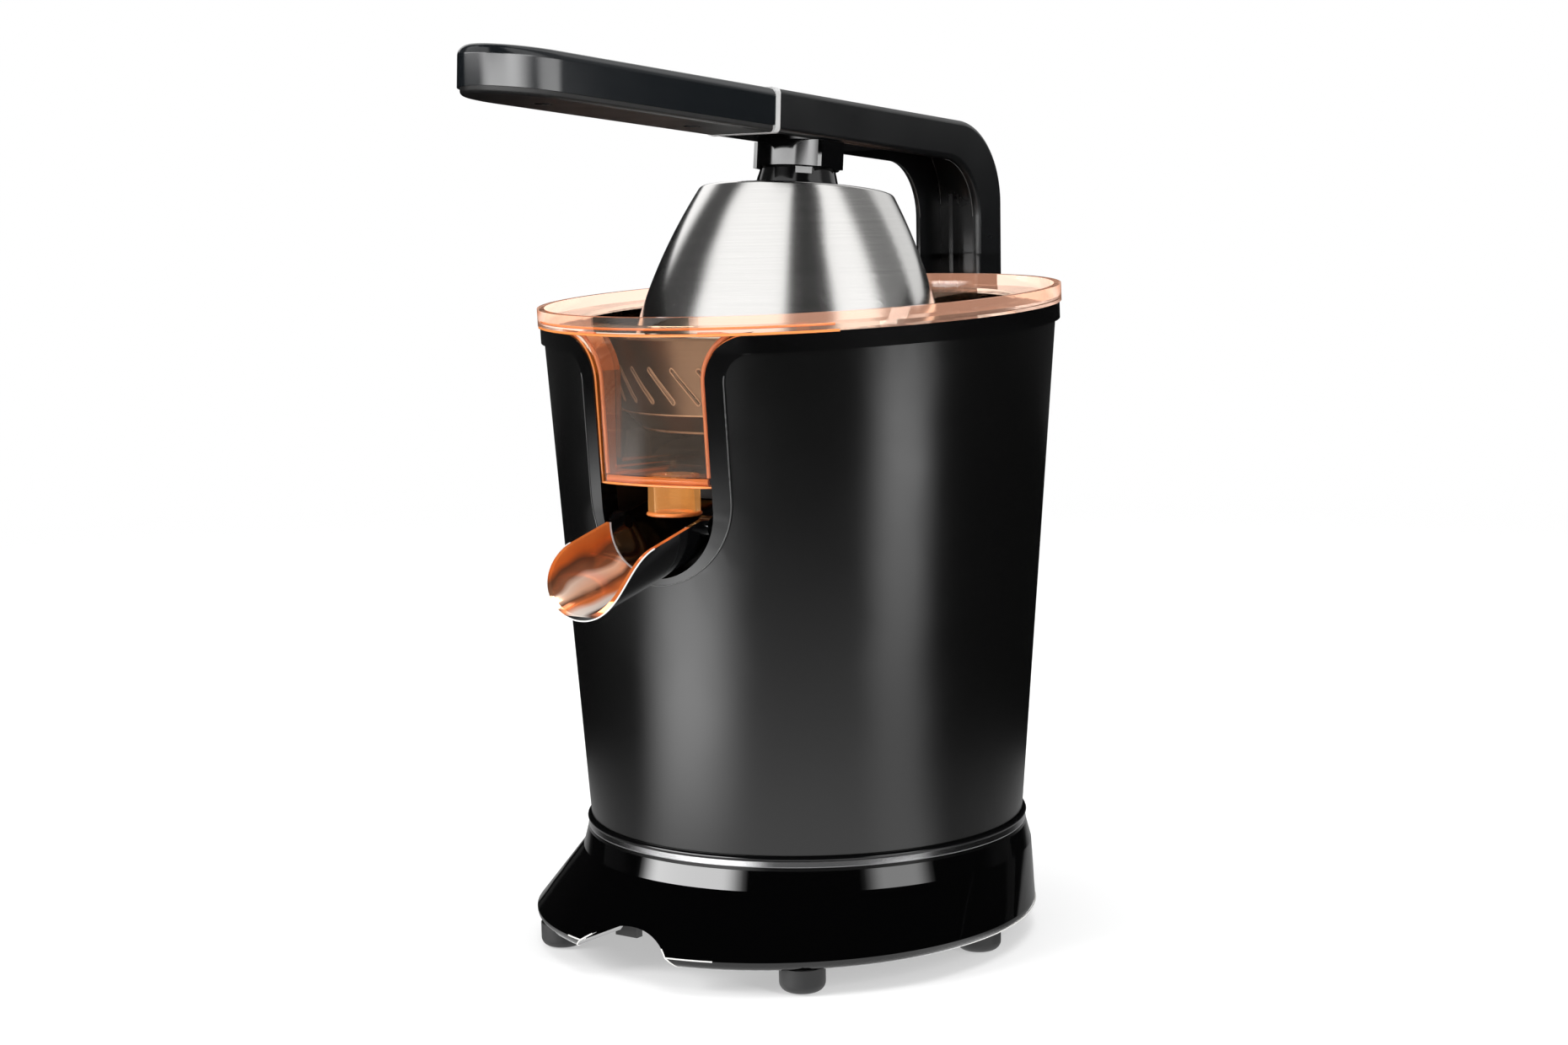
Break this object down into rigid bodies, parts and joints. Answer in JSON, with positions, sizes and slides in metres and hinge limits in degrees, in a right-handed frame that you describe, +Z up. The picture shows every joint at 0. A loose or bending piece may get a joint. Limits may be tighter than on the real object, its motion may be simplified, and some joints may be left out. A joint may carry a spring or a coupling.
{
  "type": "electric citrus press",
  "caption": "Electric citrus press with a lever arm and steel press dome over a clear orange juice bowl, and a tilting drip-stop spout.",
  "frame": {"origin": "centre of the bounding box in plan, on the table under the feet", "axes": "+Z up, the spout and the grip's tip towards -Y, +X to the right seen from the front"},
  "size_m": [0.1774, 0.2758, 0.2914],
  "materials": {
    "shell_paint": "satin black paint",
    "body_gloss": "gloss black",
    "body_satin": "satin black",
    "bowl_orange": "clear orange",
    "steel_brushed": "brushed stainless",
    "steel_plain": "plain steel",
    "silver_trim": "bright silver",
    "spout_copper": "polished orange copper",
    "grip_slate": "satin blue grey",
    "dark_rubber": "dark grey rubber",
    "gear_nylon": "off white nylon",
    "copper_wire": "enamelled copper",
    "bronze_bush": "sintered bronze",
    "cone_orange": "solid orange",
    "frame_plastic": "grey moulding"
  },
  "bodies": {
    "housing": {"base_skirt": "body_gloss", "base_trim_ring": "silver_trim", "base_plate": "body_satin", "feet": "dark_rubber", "base_screws": "steel_plain", "cord_gland": "dark_rubber", "outer_shell": "shell_paint", "top_collar": "body_gloss", "juice_bowl": "bowl_orange", "sieve": "steel_brushed", "shaft_seal": "dark_rubber", "shaft_bush": "bronze_bush", "chassis": "frame_plastic", "motor_can": "steel_plain", "motor_end_cap": "steel_plain", "motor_stator": "steel_plain", "motor_windings": "copper_wire", "motor_bushes": "bronze_bush", "motor_screws": "steel_plain", "gearbox_housing": "frame_plastic", "gearbox_cover": "frame_plastic", "gearbox_screws": "steel_plain", "idler_axle": "steel_plain", "output_bush": "bronze_bush", "return_spring": "steel_plain", "micro_switch": "body_satin", "spout_pins": "steel_plain", "spout_well": "body_satin", "rear_bracket": "body_satin", "bracket_plate": "steel_plain", "bracket_screws": "steel_plain", "arm_pin": "steel_plain"},
    "arm": {"arm_shell": "body_satin", "arm_bushes": "bronze_bush", "arm_core": "steel_plain", "grip_trim": "silver_trim", "grip_cover": "grip_slate", "grip_underside": "body_satin", "grip_screws": "steel_plain", "hub_boss": "body_gloss", "dome_neck": "body_gloss", "press_dome": "steel_brushed", "dome_liner": "body_satin", "dome_screw": "steel_plain"},
    "spout": {"spout_trough": "body_gloss", "spout_lip": "spout_copper"},
    "rotor": {"motor_rotor": "steel_plain", "motor_pinion": "steel_plain", "motor_fan": "frame_plastic"},
    "idler": {"idler_gear": "gear_nylon"},
    "output": {"output_gear": "gear_nylon"},
    "reamer": {"drive_shaft": "steel_plain", "reamer_cone": "cone_orange"},
    "plunger": {"switch_plunger": "cone_orange"}
  },
  "joints": [
    {"name": "arm_lift", "type": "hinge", "parent": "housing", "child": "arm", "pos_m": [0, 0.12935, 0.188], "axis": [-1, 0, 0], "range_deg": [0, 62]},
    {"name": "spout_tilt", "type": "hinge", "parent": "housing", "child": "spout", "pos_m": [0, -0.05106, 0.145], "axis": [-1, 0, 0], "range_deg": [0, 28]},
    {"name": "motor_spin", "type": "hinge", "parent": "housing", "child": "rotor", "pos_m": [0, 0.02095, 0], "axis": [0, 0, 1], "continuous": true},
    {"name": "idler_spin", "type": "hinge", "parent": "housing", "child": "idler", "pos_m": [0.024, 0.02095, 0], "axis": [0, 0, 1], "continuous": true},
    {"name": "reamer_spin", "type": "hinge", "parent": "housing", "child": "output", "pos_m": [0, 0.02095, 0], "axis": [0, 0, 1], "continuous": true},
    {"name": "cone_press", "type": "slide", "parent": "output", "child": "reamer", "axis": [0, 0, -1], "range_m": [0, 0.003], "stiffness_N_per_m": 900, "springref_m": -0.003, "deforming": ["return_spring"]},
    {"name": "plunger_press", "type": "slide", "parent": "housing", "child": "plunger", "axis": [0, 0, -1], "range_m": [0, 0.003]}
  ],
  "couplings": [
    {"joint": "idler_spin", "follows": "motor_spin", "ratio": -0.33333},
    {"joint": "reamer_spin", "follows": "motor_spin", "ratio": 0.14286},
    {"joint": "plunger_press", "follows": "cone_press", "ratio": 1}
  ]
}
